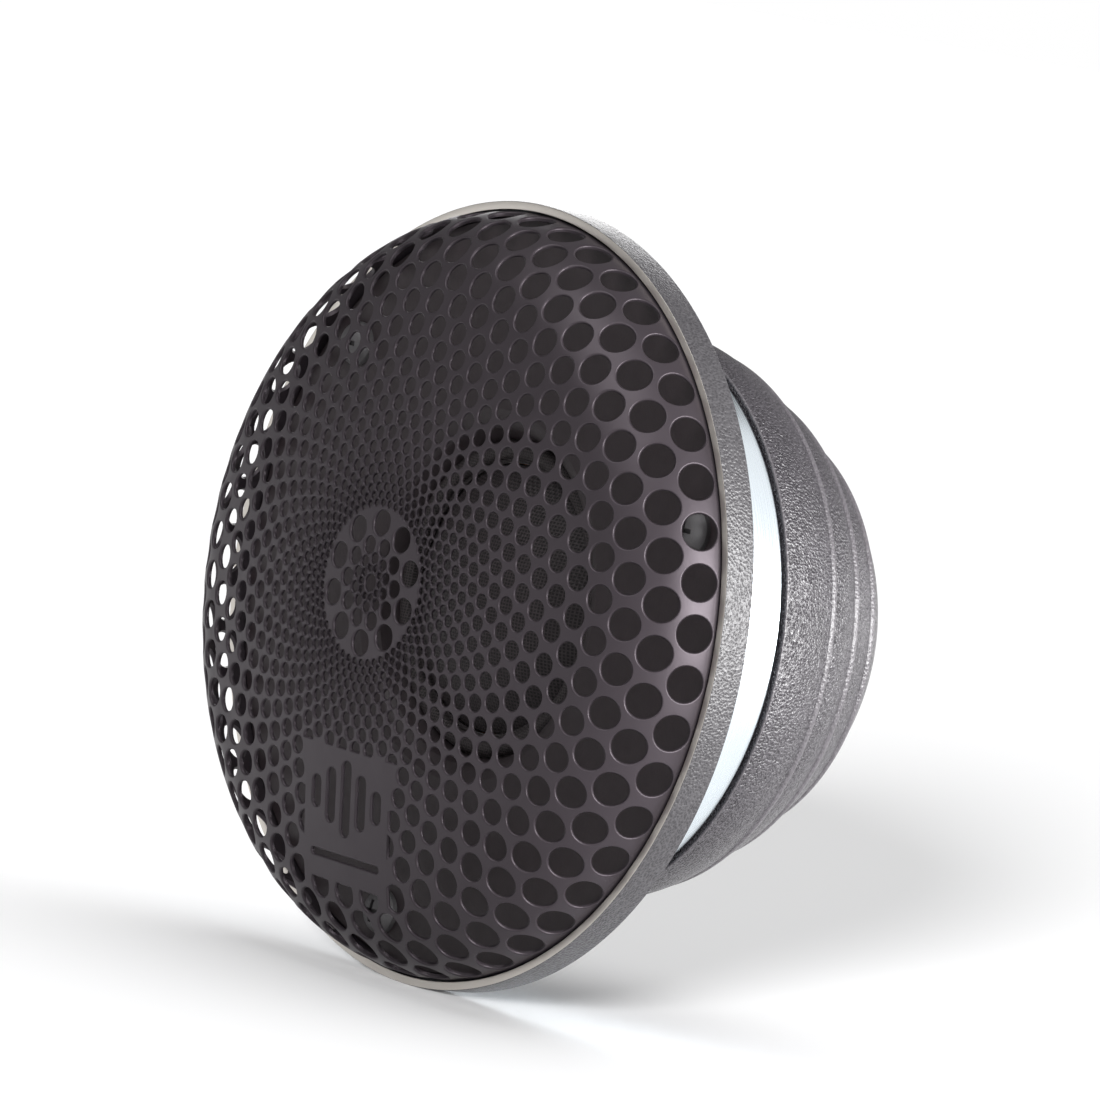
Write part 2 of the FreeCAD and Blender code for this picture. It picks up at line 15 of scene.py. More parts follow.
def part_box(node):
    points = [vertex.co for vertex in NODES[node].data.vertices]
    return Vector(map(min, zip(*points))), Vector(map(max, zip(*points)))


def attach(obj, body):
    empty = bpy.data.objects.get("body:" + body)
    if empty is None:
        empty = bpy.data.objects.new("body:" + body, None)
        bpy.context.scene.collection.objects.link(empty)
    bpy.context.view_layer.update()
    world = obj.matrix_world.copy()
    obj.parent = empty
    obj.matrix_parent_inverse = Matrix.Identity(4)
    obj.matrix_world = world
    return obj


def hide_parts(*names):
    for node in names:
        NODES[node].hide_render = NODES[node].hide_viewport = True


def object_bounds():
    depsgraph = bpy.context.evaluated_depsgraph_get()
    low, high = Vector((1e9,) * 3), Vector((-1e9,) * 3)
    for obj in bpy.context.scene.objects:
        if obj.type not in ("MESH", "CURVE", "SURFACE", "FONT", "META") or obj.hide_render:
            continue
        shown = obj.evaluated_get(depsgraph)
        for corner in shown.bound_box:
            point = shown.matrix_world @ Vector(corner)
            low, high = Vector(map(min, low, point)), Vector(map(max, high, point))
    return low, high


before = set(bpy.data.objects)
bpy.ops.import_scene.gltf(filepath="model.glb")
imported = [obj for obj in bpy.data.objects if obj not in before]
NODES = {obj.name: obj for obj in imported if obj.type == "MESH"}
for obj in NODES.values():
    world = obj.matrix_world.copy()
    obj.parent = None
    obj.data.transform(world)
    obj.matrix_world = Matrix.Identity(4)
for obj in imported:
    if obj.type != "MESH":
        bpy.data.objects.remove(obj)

CAD_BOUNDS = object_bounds()
MM = 0.001


def node_box(name):
    """Lowest and highest corner of a CAD node, in millimetres."""
    low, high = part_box(name)
    return low / MM, high / MM


# ---------------------------------------------------------------- sizes read from the frame
GRILLE_LOW, GRILLE_HIGH = node_box("grille")
RING_LOW, RING_HIGH = node_box("trim_ring")
GRILLE_RADIUS = GRILLE_HIGH.x
GRILLE_APEX = GRILLE_LOW.y
GRILLE_FOOT = GRILLE_HIGH.y
TRIM_RADIUS = RING_HIGH.x
TRIM_FRONT = RING_LOW.y

# ---------------------------------------------------------------- camera
CAMERA_AZIMUTH = 51.0           # degrees round to the object's right
CAMERA_ELEVATION = 4.02
CAMERA_ROLL = 10.35             # the camera's right side is tipped up by this much
CAMERA_DISTANCE = 632.0
CAMERA_AIM = (2.83, 1.75, 4.09)
CAMERA_LENS = 292.7             # focal length for a 36 mm wide sensor


def make_camera():
    data = bpy.data.cameras.new("camera")
    data.sensor_width = 36.0
    data.lens = CAMERA_LENS
    data.clip_start = 0.01
    data.clip_end = 20.0
    camera = bpy.data.objects.new("camera", data)
    bpy.context.scene.collection.objects.link(camera)
    turn = math.radians(CAMERA_AZIMUTH)
    rise = math.radians(CAMERA_ELEVATION)
    back = Vector((math.sin(turn) * math.cos(rise), -math.cos(turn) * math.cos(rise), math.sin(rise)))
    camera.rotation_mode = "QUATERNION"
    level = (-back).to_track_quat("-Z", "Y")
    roll = Matrix.Rotation(math.radians(CAMERA_ROLL), 4, "Z").to_quaternion()
    camera.location = (Vector(CAMERA_AIM) + back * CAMERA_DISTANCE) * MM
    camera.rotation_quaternion = level @ roll
    bpy.context.scene.camera = camera


make_camera()


# ---------------------------------------------------------------- node-tree helpers
class Shader:
    """A material with a Principled shader and short calls for the nodes that feed it."""

    def __init__(self, name, color, roughness, metallic=0.0, specular=0.5):
        self.material = bpy.data.materials.new(name)
        self.material.use_nodes = True
        self.tree = self.material.node_tree
        self.tree.nodes.clear()
        self.output = self.tree.nodes.new("ShaderNodeOutputMaterial")
        self.bsdf = self.tree.nodes.new("ShaderNodeBsdfPrincipled")
        self.link(self.bsdf.outputs["BSDF"], self.output.inputs["Surface"])
        self.bsdf.inputs["Base Color"].default_value = (*color, 1.0)
        self.bsdf.inputs["Roughness"].default_value = roughness
        self.bsdf.inputs["Metallic"].default_value = metallic
        self.bsdf.inputs["Specular IOR Level"].default_value = specular
        coordinates = self.tree.nodes.new("ShaderNodeTexCoord")
        self.place = coordinates.outputs["Object"]

    def link(self, source, target):
        self.tree.links.new(source, target)

    def node(self, kind, **settings):
        made = self.tree.nodes.new(kind)
        for key, value in settings.items():
            setattr(made, key, value)
        return made

    def value(self, socket, *inputs, operation="MULTIPLY"):
        """A Math node on sockets or numbers."""
        made = self.node("ShaderNodeMath", operation=operation)
        for slot, source in zip(made.inputs, (socket, *inputs)):
            if isinstance(source, (int, float)):
                slot.default_value = source
            else:
                self.link(source, slot)
        return made.outputs[0]

    def noise(self, size, detail=4.0, place=None):
        """Noise whose blobs are about size millimetres across."""
        made = self.node("ShaderNodeTexNoise")
        made.inputs["Scale"].default_value = 1.0 / (size * MM)
        made.inputs["Detail"].default_value = detail
        made.inputs["Roughness"].default_value = 0.55
        self.link(place or self.place, made.inputs["Vector"])
        return made.outputs["Fac"]

    def cells(self, size, feature="F1", smoothness=0.5):
        """Cell pattern with cells about size millimetres across."""
        made = self.node("ShaderNodeTexVoronoi", feature=feature)
        made.inputs["Scale"].default_value = 1.0 / (size * MM)
        if feature == "SMOOTH_F1":
            made.inputs["Smoothness"].default_value = smoothness
        self.link(self.place, made.inputs["Vector"])
        return made.outputs["Distance"]

    def span(self, source, low, high, to_low=0.0, to_high=1.0):
        """Map Range, clamped."""
        made = self.node("ShaderNodeMapRange")
        limits = (("From Min", low), ("From Max", high), ("To Min", to_low), ("To Max", to_high))
        for name, number in limits:
            made.inputs[name].default_value = number
        self.link(source, made.inputs["Value"])
        return made.outputs["Result"]

    def bump(self, height, depth, normal=None):
        """Adds a bump of that depth in millimetres."""
        made = self.node("ShaderNodeBump")
        made.inputs["Strength"].default_value = 1.0
        made.inputs["Distance"].default_value = depth * MM
        self.link(height, made.inputs["Height"])
        if normal is not None:
            self.link(normal, made.inputs["Normal"])
        self.link(made.outputs["Normal"], self.bsdf.inputs["Normal"])
        return made.outputs["Normal"]

    def tint(self, factor, color_a, color_b):
        """Base colour from color_a to color_b by factor."""
        made = self.node("ShaderNodeMix", data_type="RGBA")
        made.inputs["A"].default_value = (*color_a, 1.0)
        made.inputs["B"].default_value = (*color_b, 1.0)
        self.link(factor, made.inputs["Factor"])
        self.link(made.outputs["Result"], self.bsdf.inputs["Base Color"])

    def rough(self, factor, low, high):
        self.link(self.span(factor, 0.3, 0.7, low, high), self.bsdf.inputs["Roughness"])


def assign(piece, shader):
    """The piece shows this one material all over."""
    piece.data.materials.clear()
    piece.data.materials.append(shader.material)


# ---------------------------------------------------------------- mesh helpers
def new_piece(name, vertices, faces, body, shader):
    """A mesh object in the row frame that rides on a body. Vertices are in millimetres."""
    mesh = bpy.data.meshes.new(name)
    mesh.from_pydata([tuple(c * MM for c in v) for v in vertices], [], faces)
    mesh.validate()
    piece = bpy.data.objects.new(name, mesh)
    bpy.context.scene.collection.objects.link(piece)
    mesh.materials.append(shader.material)
    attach(piece, body)
    return piece


def smooth(piece, sharp_degrees=35):
    piece.data.shade_smooth()
    piece.data.set_sharp_from_angle(angle=math.radians(sharp_degrees))
    return piece


def bow(start, middle, end, steps):
    """Points of the arc through three points, without its first point."""
    (ax, ay), (bx, by), (cx, cy) = start, middle, end
    d = 2 * (ax * (by - cy) + bx * (cy - ay) + cx * (ay - by))
    sa, sb, sc = ax * ax + ay * ay, bx * bx + by * by, cx * cx + cy * cy
    ux = (sa * (by - cy) + sb * (cy - ay) + sc * (ay - by)) / d
    uy = (sa * (cx - bx) + sb * (ax - cx) + sc * (bx - ax)) / d
    radius = math.hypot(ax - ux, ay - uy)
    first = math.atan2(ay - uy, ax - ux)
    through = (math.atan2(by - uy, bx - ux) - first) % (2 * math.pi)
    sweep = (math.atan2(cy - uy, cx - ux) - first) % (2 * math.pi)
    if through > sweep:
        sweep -= 2 * math.pi
    turns = [first + sweep * k / steps for k in range(1, steps + 1)]
    return [(ux + radius * math.cos(t), uy + radius * math.sin(t)) for t in turns]


def rounded(corners, steps=5):
    """Closed outline from (radius, y) or (radius, y, fillet) corners, with the fillets as arcs."""
    outline = []
    count = len(corners)
    for k, corner in enumerate(corners):
        here = Vector(corner[:2])
        if len(corner) < 3:
            outline.append(tuple(here))
            continue
        back = (Vector(corners[k - 1][:2]) - here).normalized()
        ahead = (Vector(corners[(k + 1) % count][:2]) - here).normalized()
        half = math.acos(max(-1.0, min(1.0, back.dot(ahead)))) / 2
        reach = corner[2] / math.tan(half)
        start, end = here + back * reach, here + ahead * reach
        centre = here + (back + ahead).normalized() * (corner[2] / math.sin(half))
        middle = centre + (here - centre).normalized() * corner[2]
        outline.append(tuple(start))
        outline.extend(bow(tuple(start), tuple(middle), tuple(end), steps))
    return outline


def lathe(name, outline, body, shader, segments=240, sharp_degrees=35):
    """Closed outline of (radius, y) points turned about the Y axis."""
    vertices, faces = [], []
    count = len(outline)
    on_axis = [radius < 1e-6 for radius, _ in outline]
    index = []
    for (radius, y), axial in zip(outline, on_axis):
        if axial:
            index.append([len(vertices)] * segments)
            vertices.append((0.0, y, 0.0))
            continue
        index.append(list(range(len(vertices), len(vertices) + segments)))
        for k in range(segments):
            turn = 2 * math.pi * k / segments
            vertices.append((radius * math.sin(turn), y, radius * math.cos(turn)))
    for k in range(count):
        a, b = index[k], index[(k + 1) % count]
        if on_axis[k] and on_axis[(k + 1) % count]:
            continue
        for j in range(segments):
            n = (j + 1) % segments
            corners = [a[j], b[j], b[n], a[n]]
            face = [v for i, v in enumerate(corners) if v not in corners[:i]]
            faces.append(face)
    piece = new_piece(name, vertices, faces, body, shader)
    mesh = bmesh.new()
    mesh.from_mesh(piece.data)
    bmesh.ops.recalc_face_normals(mesh, faces=mesh.faces)
    mesh.to_mesh(piece.data)
    mesh.free()
    return smooth(piece, sharp_degrees)


# ---------------------------------------------------------------- perforated grille
SHEET = 0.34
CAP_RADIUS = 92.0
KNUCKLE = 7.3
CAP_CENTRE = GRILLE_APEX + CAP_RADIUS
KNUCKLE_R = GRILLE_RADIUS - KNUCKLE
KNUCKLE_Y = CAP_CENTRE - math.sqrt((CAP_RADIUS - KNUCKLE) ** 2 - KNUCKLE_R ** 2)
KNUCKLE_TOP = math.atan2(CAP_CENTRE - KNUCKLE_Y, KNUCKLE_R)
CAP_LENGTH = CAP_RADIUS * (math.pi / 2 - KNUCKLE_TOP)
KNUCKLE_LENGTH = KNUCKLE * KNUCKLE_TOP
GRILLE_LENGTH = CAP_LENGTH + KNUCKLE_LENGTH + GRILLE_FOOT - KNUCKLE_Y

HOLES_PER_ROW = 48
ROW_RATIO = 0.9134
OUTER_ROWS = (26.98, 25.79, 24.04, 22.10)       # radii of the rows on the knuckle
INNERMOST_ROW = 5.6
DEVICE_HOLES = 10           # in each ring of the centre device
DEVICE_RINGS = (            # radius, hole diameter, angle of the first hole
    (4.29, 1.80, 0.0),
    (2.72, 1.20, 18.0),
    (1.72, 0.76, 0.0),
    (1.07, 0.48, 18.0),
)
DEVICE_MIDDLE = 1.2
HOLE_EDGE = 0.15            # rounding of each hole's rim
HOLE_SHARE = 0.635          # hole diameter over pitch, in the inner rows
HOLE_SHARE_GAIN = 0.085     # added to that share in the outermost rows
WIDER_FROM = 19.5           # radius where the share starts to grow
WIDER_OVER = 6.0
KNUCKLE_STRETCH = 1.03      # holes on the knuckle are this much longer along the section
CUT_HOLE_LEAST = 0.28       # a hole that keeps less than this share beside the badge is dropped
SHORTEST_EDGE = 0.02        # closer points of a cut hole are merged
FILLER_SPACING = 0.8        # triangular grid of points between the holes
FILLER_ROW = 0.866          # its row height over its spacing
FEWEST_TURNED = 9           # a hole with more corners takes its wall's normals from its outline

BADGE_HALF_WIDTH = 5.0
BADGE_TOP = -11.86
BADGE_BOTTOM = -21.53
BAR_WIDTH = 0.95
BAR_PITCH = 1.75
BAR_HEIGHTS = (2.2, 3.8, 5.3, 3.8, 2.2)
BAR_MIDDLE = -15.4
LINE_HALF_LENGTH = 3.9
LINE_HEIGHT = 0.42
LINE_MIDDLE = -19.7


def profile(path):
    """Radius, y, and the outward normal's radial and y parts, at path lengths from the apex."""
    path = np.asarray(path, float)
    on_cap = path < CAP_LENGTH
    on_skirt = path > CAP_LENGTH + KNUCKLE_LENGTH
    angle = np.where(on_cap, math.pi / 2 - path / CAP_RADIUS, KNUCKLE_TOP - (path - CAP_LENGTH) / KNUCKLE)
    angle = np.where(on_skirt, 0.0, angle)
    bend = np.where(on_cap, CAP_RADIUS, KNUCKLE)
    radius = np.where(on_cap, 0.0, KNUCKLE_R) + bend * np.cos(angle)
    y = np.where(on_cap, CAP_CENTRE, KNUCKLE_Y) - bend * np.sin(angle)
    y = y + np.where(on_skirt, path - CAP_LENGTH - KNUCKLE_LENGTH, 0.0)
    return radius, y, np.cos(angle), -np.sin(angle)


def path_at(radius):
    """Path length from the apex to a radius."""
    if radius < CAP_RADIUS * math.cos(KNUCKLE_TOP):
        return CAP_RADIUS * math.asin(radius / CAP_RADIUS)
    return CAP_LENGTH + KNUCKLE * (KNUCKLE_TOP - math.acos((radius - KNUCKLE_R) / KNUCKLE))


def flat_point(path, angle):
    """The sheet laid flat: path length outwards, angle clockwise from the top."""
    return np.stack([path * np.sin(angle), path * np.cos(angle)], -1)


def hole_diameter(radius):
    """A row's holes take a share of its pitch, and a larger share near the rim."""
    toward_rim = min(1.0, max(0.0, (radius - WIDER_FROM) / WIDER_OVER))
    share = HOLE_SHARE + HOLE_SHARE_GAIN * toward_rim
    return share * 2 * math.pi * radius / HOLES_PER_ROW


def hole_outline(radius, angle, diameter):
    """Outline of one round hole on the flat sheet."""
    count = 26 if diameter > 1.9 else 20 if diameter > 1.1 else 14 if diameter > 0.6 else 10
    turn = 2 * math.pi * np.arange(count) / count
    path = path_at(radius)
    half = diameter / 2
    if path < CAP_LENGTH:
        middle = flat_point(np.array(path), np.array(angle))
        return middle + half * np.stack([np.sin(turn), np.cos(turn)], -1)
    along = path + KNUCKLE_STRETCH * half * np.cos(turn)
    across = angle + half * np.sin(turn) / profile(along)[0]
    return flat_point(along, across)


def seen_from_front(points):
    """x and z on the object of points of the flat sheet."""
    path = np.hypot(points[:, 0], points[:, 1])
    scale = np.divide(profile(path)[0], path, out=np.ones_like(path), where=path > 1e-9)
    return points * scale[:, None]


def trim_to_badge(points):
    """Cuts off the part of a hole that runs into the badge; None if too little is left."""
    front = seen_from_front(points)
    x, z = front[:, 0], front[:, 1]
    outside = np.stack([
        x - BADGE_HALF_WIDTH, -x - BADGE_HALF_WIDTH, z - BADGE_TOP, BADGE_BOTTOM - z,
    ])
    if not (outside.max(0) < 0).any():
        return points
    side = outside[outside.mean(1).argmax()]
    if side.max() < CUT_HOLE_LEAST * (side.max() - side.min()):
        return None
    kept = []
    for k in range(len(points)):
        n = (k + 1) % len(points)
        if side[k] >= 0:
            kept.append(points[k])
        if (side[k] >= 0) != (side[n] >= 0):
            kept.append(points[k] + (points[n] - points[k]) * side[k] / (side[k] - side[n]))
    clean = [p for k, p in enumerate(kept) if np.hypot(*(p - kept[k - 1])) > SHORTEST_EDGE]
    return np.array(clean)


def slot_outline(x, z, half_x, half_z, steps=9):
    """Upright or level slot with round ends, centred at x, z on the front view."""
    radius = min(half_x, half_z)
    points = []
    for k in range(4 * steps):
        turn = 2 * math.pi * (k + 0.5) / (4 * steps)
        right, up = math.sin(turn), math.cos(turn)
        points.append((
            x + radius * right + math.copysign(half_x - radius, right),
            z + radius * up + math.copysign(half_z - radius, up),
        ))
    points = np.array(points)
    reach = np.hypot(points[:, 0], points[:, 1])
    path = np.array([path_at(r) for r in reach])
    return points * (path / reach)[:, None]


def grille_openings():
    """Outlines of all holes on the flat sheet, clockwise seen from the front."""
    rows = list(OUTER_ROWS)
    while rows[-1] * ROW_RATIO > INNERMOST_ROW:
        rows.append(rows[-1] * ROW_RATIO)
    outlines = []
    for number, radius in enumerate(rows):
        offset = 0.5 if number % 2 == 0 else 0.0
        for step in range(HOLES_PER_ROW):
            angle = 2 * math.pi * (step + offset) / HOLES_PER_ROW
            outline = trim_to_badge(hole_outline(radius, angle, hole_diameter(radius)))
            if outline is not None:
                outlines.append(outline)
    for radius, diameter, first in DEVICE_RINGS:
        for step in range(DEVICE_HOLES):
            angle = math.radians(first + 360 / DEVICE_HOLES * step)
            outlines.append(hole_outline(radius, angle, diameter))
    outlines.append(hole_outline(0.0, 0.0, DEVICE_MIDDLE))
    for number, height in enumerate(BAR_HEIGHTS):
        x = (number - (len(BAR_HEIGHTS) - 1) / 2) * BAR_PITCH
        outlines.append(slot_outline(x, BAR_MIDDLE, BAR_WIDTH / 2, height / 2))
    outlines.append(slot_outline(0.0, LINE_MIDDLE, LINE_HALF_LENGTH, LINE_HEIGHT / 2))
    return outlines


def grown(points, distance):
    """Outline moved outwards by a distance."""
    ahead = np.roll(points, -1, 0) - points
    back = points - np.roll(points, 1, 0)
    normals = []
    for step in (back, ahead):
        unit = step / np.hypot(step[:, 0], step[:, 1])[:, None]
        normals.append(np.stack([-unit[:, 1], unit[:, 0]], -1))
    area = 0.5 * np.sum(points[:, 0] * np.roll(points[:, 1], -1) - np.roll(points[:, 0], -1) * points[:, 1])
    mitre = normals[0] + normals[1]
    mitre /= np.maximum(np.sum(mitre * normals[0], 1), 0.4)[:, None]
    return points - mitre * distance * math.copysign(1.0, area)


def filler_points(rims, spacing):
    """Points between the holes and over the plain patches, so that the sheet curves smoothly."""
    centres = np.array([rim.mean(0) for rim in rims])
    reach = np.array([np.hypot(*(rim - rim.mean(0)).T).max() for rim in rims])
    steps = int(GRILLE_LENGTH / spacing) + 1
    grid = []
    for row in range(-steps, steps + 1):
        for column in range(-steps, steps + 1):
            grid.append(((column + 0.5 * (row % 2)) * spacing, row * spacing * FILLER_ROW))
    grid = np.array(grid)
    grid = grid[np.hypot(grid[:, 0], grid[:, 1]) < GRILLE_LENGTH - 0.5 * spacing]
    clear = np.ones(len(grid), bool)
    for centre, size in zip(centres, reach):
        clear &= np.hypot(*(grid - centre).T) > size + 0.3 * spacing
    return grid[clear]


def sheet_places(points, depth):
    """Points of the flat sheet on the formed grille, depth under its outside, and the normals."""
    path = np.hypot(points[:, 0], points[:, 1])
    unit = np.divide(points, path[:, None], out=np.zeros_like(points), where=path[:, None] > 1e-9)
    radius, y, normal_r, normal_y = profile(path)
    normals = np.stack([unit[:, 0] * normal_r, normal_y, unit[:, 1] * normal_r], 1)
    places = np.stack([unit[:, 0] * radius, y, unit[:, 1] * radius], 1)
    return places - normals * depth, normals


def make_grille(shader):
    """Pressed sheet with every hole cut through it, each with a rounded rim and a real wall."""
    walls = grille_openings()
    rims = [grown(wall, HOLE_EDGE) for wall in walls]
    rim_turns = 288
    turn = 2 * math.pi * np.arange(rim_turns) / rim_turns
    foot = flat_point(np.full(rim_turns, GRILLE_LENGTH), turn)
    points = np.concatenate(rims + [foot, filler_points(rims, FILLER_SPACING)])
    starts = np.cumsum([0] + [len(rim) for rim in rims])
    hole_faces = [list(range(starts[k], starts[k + 1])) for k in range(len(rims))]
    foot_start = starts[-1]
    foot_edges = [(foot_start + k, foot_start + (k + 1) % rim_turns) for k in range(rim_turns)]
    inside_left = [face[::-1] for face in hole_faces]
    laid = delaunay_2d_cdt([Vector(p) for p in points], foot_edges, inside_left, 0, 1e-5, True)
    out_points, _, out_faces, from_points, _, from_faces = laid
    flat = np.array([tuple(p) for p in out_points])
    index = {source: k for k, sources in enumerate(from_points) for source in sources}
    triangles = np.array([f for f, holes in zip(out_faces, from_faces) if not holes])
    a, b, c = (flat[triangles[:, k]] for k in range(3))
    cross = (b - a)[:, 0] * (c - a)[:, 1] - (b - a)[:, 1] * (c - a)[:, 0]
    triangles[cross < 0] = triangles[cross < 0][:, ::-1]
    outside, normals = sheet_places(flat, 0.0)
    inside, _ = sheet_places(flat, SHEET)
    wall_places = [sheet_places(wall, HOLE_EDGE)[0] for wall in walls]
    vertices = np.concatenate([outside, inside] + wall_places)
    count = len(flat)
    faces = [tuple(t) for t in triangles]
    face_normals = [tuple(normals[k] for k in t) for t in triangles]
    for t in triangles:
        faces.append(tuple(count + k for k in t[::-1]))
        face_normals.append(tuple(-normals[k] for k in t[::-1]))
    base = 2 * count
    for number, places in enumerate(wall_places):
        ring = [index[k] for k in hole_faces[number]]
        size = len(places)
        middle = places.mean(0)
        axis = normals[ring].mean(0)
        inward = middle - places
        inward -= (inward @ axis)[:, None] * axis / (axis @ axis)
        if size > FEWEST_TURNED and len(ring) == size:
            ahead = np.roll(places, -1, 0) - np.roll(places, 1, 0)
            across = np.cross(ahead, axis)
            across *= np.sign((across * inward).sum(1))[:, None]
            inward = across
        inward /= np.linalg.norm(inward, axis=1)[:, None]
        for k in range(size):
            n = (k + 1) % size
            top, top_next = ring[k], ring[n]
            low, low_next = base + k, base + n
            foot_v, foot_next = count + top, count + top_next
            faces.append((top, low, low_next, top_next))
            face_normals.append((normals[top], inward[k], inward[n], normals[top_next]))
            faces.append((low, foot_v, foot_next, low_next))
            face_normals.append((inward[k], inward[k], inward[n], inward[n]))
        base += size
    for k in range(rim_turns):
        here, ahead = index[foot_start + k], index[foot_start + (k + 1) % rim_turns]
        faces.append((here, ahead, count + ahead, count + here))
        face_normals.append(((0.0, 1.0, 0.0),) * 4)
    piece = new_piece("perforated_grille", vertices, faces, "frame", shader)
    set_normals(piece, faces, face_normals)
    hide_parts("grille")


def set_normals(piece, faces, face_normals):
    """Turns every face to agree with its own normals, then stores the normals on its corners."""
    mesh = piece.data
    wanted = {}
    for face, corner_normals in zip(faces, face_normals):
        wanted[tuple(sorted(face))] = dict(zip(face, corner_normals))
    mesh.update()
    flips = []
    for polygon in mesh.polygons:
        normals = wanted[tuple(sorted(polygon.vertices))]
        total = np.sum([normals[v] for v in polygon.vertices], axis=0)
        if Vector(total).dot(polygon.normal) < 0:
            flips.append(polygon.index)
    if flips:
        work = bmesh.new()
        work.from_mesh(mesh)
        work.faces.ensure_lookup_table()
        bmesh.ops.reverse_faces(work, faces=[work.faces[k] for k in flips])
        work.to_mesh(mesh)
        work.free()
    mesh.shade_smooth()
    loops = []
    for polygon in mesh.polygons:
        normals = wanted[tuple(sorted(polygon.vertices))]
        loops.extend(tuple(normals[v]) for v in polygon.vertices)
    mesh.normals_split_custom_set(loops)


# ---------------------------------------------------------------- materials
def coated_metal(name, color, roughness, grain, depth, mottle_and_pit_shade=0.25):
    """Crinkle powder coat: rounded cells under a finer grain. The pits are duller, and their colour is
    darker as painted shade.
    """
    coat = Shader(name, color, roughness)
    cells = coat.cells(grain, feature="SMOOTH_F1", smoothness=0.35)
    lumps = coat.noise(grain * 1.7, detail=3.0)
    fine = coat.noise(grain * 0.3, detail=2.0)
    height = coat.value(cells, coat.value(lumps, 0.8), operation="ADD")
    rounded_normal = coat.bump(height, depth)
    coat.bump(fine, depth * 0.25, normal=rounded_normal)
    crests = coat.span(height, 0.5, 1.1)
    gloss = coat.span(crests, 0.0, 1.0, 0.5 * (1 - mottle_and_pit_shade), 0.5 * (1 + mottle_and_pit_shade))
    coat.link(gloss, coat.bsdf.inputs["Specular IOR Level"])
    # Base colour: random patches mixed with painted light and shade by bump height, the crests lighter and
    # the pits darker.
    patches_and_pit_shade = coat.value(coat.value(coat.noise(6.0, detail=2.0), crests, operation="ADD"), 0.5)
    light = tuple(min(1.0, c * (1 + mottle_and_pit_shade)) for c in color)
    dark = tuple(c * (1 - mottle_and_pit_shade) for c in color)
    coat.tint(patches_and_pit_shade, dark, light)
    coat.rough(fine, roughness - 0.05, roughness + 0.08)
    return coat


def painted_metal(name, color, roughness):
    """Smooth satin paint with a trace of orange peel."""
    paint = Shader(name, color, roughness, specular=0.42)
    paint.bsdf.inputs["Specular Tint"].default_value = (1.0, 0.88, 0.97, 1.0)
    paint.bump(paint.noise(0.5, detail=2.0), 0.006)
    paint.rough(paint.noise(2.5, detail=3.0), roughness - 0.03, roughness + 0.05)
    paint.tint(paint.noise(9.0, detail=2.0), tuple(0.9 * c for c in color), tuple(1.12 * c for c in color))
    return paint


def turned_metal(name, color, roughness, line=0.06, depth=0.002):
    """Metal with fine tool lines that run round the axis."""
    metal = Shader(name, color, roughness, metallic=1.0)
    split = metal.node("ShaderNodeSeparateXYZ")
    metal.link(metal.place, split.inputs[0])
    squares = [metal.value(split.outputs[axis], split.outputs[axis]) for axis in (0, 2)]
    radius = metal.value(metal.value(*squares, operation="ADD"), 0.5, operation="POWER")
    join = metal.node("ShaderNodeCombineXYZ")
    metal.link(radius, join.inputs[0])
    metal.link(split.outputs[1], join.inputs[1])
    lines = metal.noise(line, detail=3.0, place=join.outputs[0])
    metal.bump(lines, depth)
    metal.rough(lines, roughness - 0.04, roughness + 0.06)
    metal.tint(metal.noise(7.0, detail=2.0), tuple(0.93 * c for c in color), color)
    return metal


def woven_cloth(name, color, thread, roughness, gloss):
    """Square plain weave: threads in X and Z that pass over and under each other."""
    cloth = Shader(name, color, roughness, specular=gloss)
    split = cloth.node("ShaderNodeSeparateXYZ")
    cloth.link(cloth.place, split.inputs[0])
    steps, crowns = [], []
    for axis in (0, 2):
        count = cloth.value(split.outputs[axis], 1.0 / (thread * MM))
        steps.append(cloth.value(count, 0.0, operation="FLOOR"))
        turn = cloth.value(count, math.pi)
        crowns.append(cloth.value(cloth.value(turn, 0.0, operation="SINE"), 0.0, operation="ABSOLUTE"))
    gaps = cloth.value(*crowns, operation="MAXIMUM")
    parity = cloth.value(cloth.value(*steps, operation="ADD"), 2.0, operation="FLOORED_MODULO")
    pick = cloth.node("ShaderNodeMix", data_type="FLOAT")
    cloth.link(parity, pick.inputs["Factor"])
    cloth.link(crowns[0], pick.inputs["A"])
    cloth.link(crowns[1], pick.inputs["B"])
    weave = pick.outputs["Result"]
    cloth.bump(weave, thread * 0.12)
    cloth.tint(cloth.span(gaps, 0.7, 0.95), tuple(0.2 * c for c in color), color)
    return cloth


def moulded_plastic(name, color, roughness, grain=0.2):
    plastic = Shader(name, color, roughness)
    plastic.bump(plastic.noise(grain, detail=3.0), 0.012)
    plastic.tint(plastic.noise(5.0), tuple(0.85 * c for c in color), tuple(1.15 * c for c in color))
    plastic.rough(plastic.noise(1.2), roughness - 0.05, roughness + 0.08)
    return plastic


def soft_fibre(name, color, grain):
    """Felt or foam: open, lumpy and matt."""
    fibre = Shader(name, color, 0.95, specular=0.15)
    pores = fibre.cells(grain)
    fibre.bump(fibre.value(pores, fibre.noise(grain * 0.4), operation="ADD"), grain * 0.6)
    fibre.tint(pores, tuple(0.6 * c for c in color), tuple(1.3 * c for c in color))
    return fibre


GRILLE_PAINT = painted_metal("satin_black_paint", (0.021, 0.0172, 0.0202), 0.42)
RING_COAT = coated_metal("ring_crinkle_coat", (0.032, 0.03, 0.033), 0.36, 0.2, 0.05, 0.4)
CUP_COAT = coated_metal("cup_crinkle_coat", (0.025, 0.0222, 0.0262), 0.27, 0.19, 0.1, 0.75)
